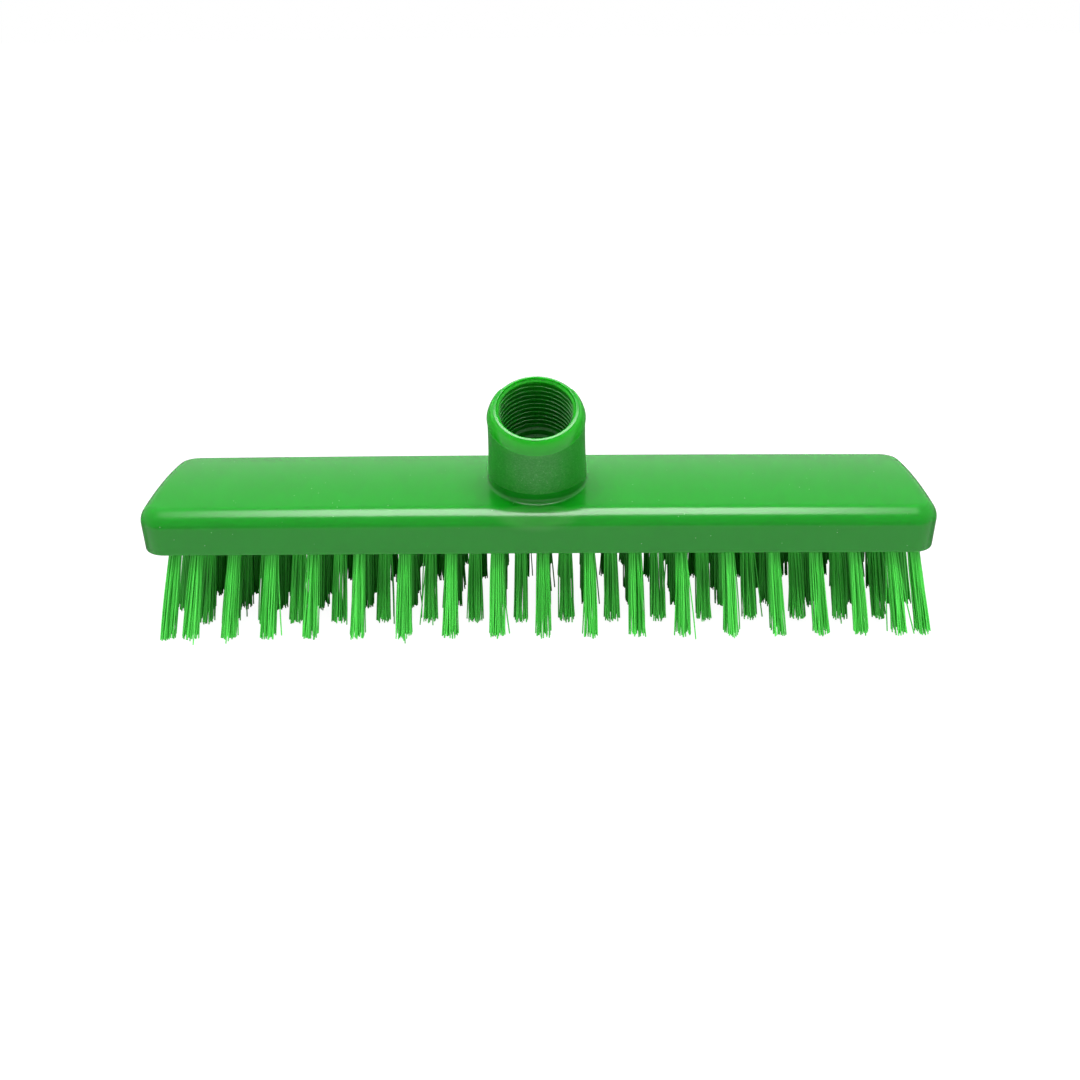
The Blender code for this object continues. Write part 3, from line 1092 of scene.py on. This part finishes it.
def build_rows():
    """The six rows of tufts, one mesh each."""
    tree = tuft_tree()
    for number, (row, _) in enumerate(row_patterns):
        obj = grow_tufts(f"{row}_row_tufts", tree, row_places(number), 11 * (number + 1), filament)
        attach(obj, "root")
        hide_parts(*[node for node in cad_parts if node.startswith(f"{row}_tufts_")])


# Studio

def add_camera():
    """Camera with the photograph's frame, place and turn."""
    data = bpy.data.cameras.new("camera")
    data.sensor_fit = "HORIZONTAL"
    data.sensor_width = 36
    data.lens = focal_pixels / photo_size * data.sensor_width
    data.clip_start = 0.01
    data.clip_end = 100
    camera = bpy.data.objects.new("camera", data)
    bpy.context.scene.collection.objects.link(camera)
    camera.matrix_world = (Matrix.Translation(camera_place) @ Matrix.Rotation(camera_yaw, 4, "Z")
                           @ Matrix.Rotation(camera_pitch, 4, "X") @ Matrix.Rotation(camera_roll, 4, "Z"))
    bpy.context.scene.camera = camera


def add_softbox(name, middle, target, width, height, radiance):
    """One flat light that faces a target. Its power follows from its size and its brightness."""
    data = bpy.data.lights.new(name, "AREA")
    data.shape = "RECTANGLE"
    data.size = width
    data.size_y = height
    data.energy = radiance * math.pi * width * height
    light = bpy.data.objects.new(name, data)
    bpy.context.scene.collection.objects.link(light)
    light.location = middle
    light.rotation_euler = (target - middle).to_track_quat("-Z", "Y").to_euler()


def camera_only(tree, seen, otherwise, output):
    """Shows the camera one shader, and lights the object with another."""
    pick = tree.nodes.new("ShaderNodeMixShader")
    tree.links.new(tree.nodes.new("ShaderNodeLightPath").outputs["Is Camera Ray"], pick.inputs["Fac"])
    tree.links.new(otherwise, pick.inputs[1])
    tree.links.new(seen, pick.inputs[2])
    tree.links.new(pick.outputs[0], tree.nodes[output].inputs["Surface"])


def add_floor():
    """A pale floor. It glows to the camera, so that the object's shade stays faint, and lights the object
    mostly from a strip in front of it."""
    bm = bmesh.new()
    bmesh.ops.create_grid(bm, x_segments=1, y_segments=1, size=floor_size)
    material = bpy.data.materials.new("pale floor")
    material.use_nodes = True
    tree = material.node_tree
    paper = tree.nodes["Principled BSDF"]
    paper.inputs["Base Color"].default_value = (floor_bounce, floor_bounce, floor_bounce, 1)
    paper.inputs["Roughness"].default_value = floor_roughness
    paper.inputs["Specular IOR Level"].default_value = 0
    split = tree.nodes.new("ShaderNodeSeparateXYZ")
    tree.links.new(tree.nodes.new("ShaderNodeTexCoord").outputs["Object"], split.inputs[0])
    low, high = floor_strip
    away = tree.nodes.new("ShaderNodeMath")
    away.operation = "ADD"
    away.inputs[1].default_value = -(low + high) / 2
    tree.links.new(split.outputs["Y"], away.inputs[0])
    distance = tree.nodes.new("ShaderNodeMath")
    distance.operation = "ABSOLUTE"
    tree.links.new(away.outputs[0], distance.inputs[0])
    strip = tree.nodes.new("ShaderNodeMapRange")
    strip.interpolation_type = "SMOOTHSTEP"
    strip.inputs["From Min"].default_value = (high - low) / 2
    strip.inputs["From Max"].default_value = (high - low) / 2 + floor_strip_edge
    strip.inputs["To Min"].default_value = floor_strip_glow
    strip.inputs["To Max"].default_value = 0
    tree.links.new(distance.outputs[0], strip.inputs["Value"])
    glows = []
    for strength in (floor_glow, strip.outputs["Result"]):
        glow = tree.nodes.new("ShaderNodeEmission")
        if isinstance(strength, bpy.types.NodeSocket):
            tree.links.new(strength, glow.inputs["Strength"])
        else:
            glow.inputs["Strength"].default_value = strength
        both = tree.nodes.new("ShaderNodeAddShader")
        tree.links.new(paper.outputs[0], both.inputs[0])
        tree.links.new(glow.outputs[0], both.inputs[1])
        glows.append(both.outputs[0])
    camera_only(tree, *glows, "Material Output")
    floor = mesh_object("floor", bm, material)


def light_studio():
    """One softbox over the object, in a white room that is darker in front."""
    scene = bpy.context.scene
    scene.view_settings.view_transform = "Standard"
    world = bpy.data.worlds.new("studio")
    scene.world = world
    world.use_nodes = True
    tree = world.node_tree
    room = tree.nodes["Background"]
    room.inputs["Color"].default_value = (1, 1, 1, 1)
    split = tree.nodes.new("ShaderNodeSeparateXYZ")
    tree.links.new(tree.nodes.new("ShaderNodeTexCoord").outputs["Generated"], split.inputs[0])
    front = tree.nodes.new("ShaderNodeMapRange")
    front.inputs["From Min"].default_value, front.inputs["From Max"].default_value = room_front_turn
    front.inputs["To Min"].default_value = room_front_radiance
    front.inputs["To Max"].default_value = room_radiance
    tree.links.new(split.outputs["Y"], front.inputs["Value"])
    tree.links.new(front.outputs["Result"], room.inputs["Strength"])
    backdrop = tree.nodes.new("ShaderNodeBackground")
    backdrop.inputs["Color"].default_value = (1, 1, 1, 1)
    camera_only(tree, backdrop.outputs[0], room.outputs[0], "World Output")
    for number in range(softbox_layers):
        size = softbox_width * (1 - softbox_soft_share * number / (softbox_layers - 1))
        place = block_foot + Vector((0, softbox_middle, softbox_height + softbox_layer_gap * number))
        add_softbox(f"softbox layer {number}", place, block_foot, size, softbox_depth,
                    softbox_radiance / softbox_layers)


build_head()
build_rows()
add_camera()
light_studio()
add_floor()
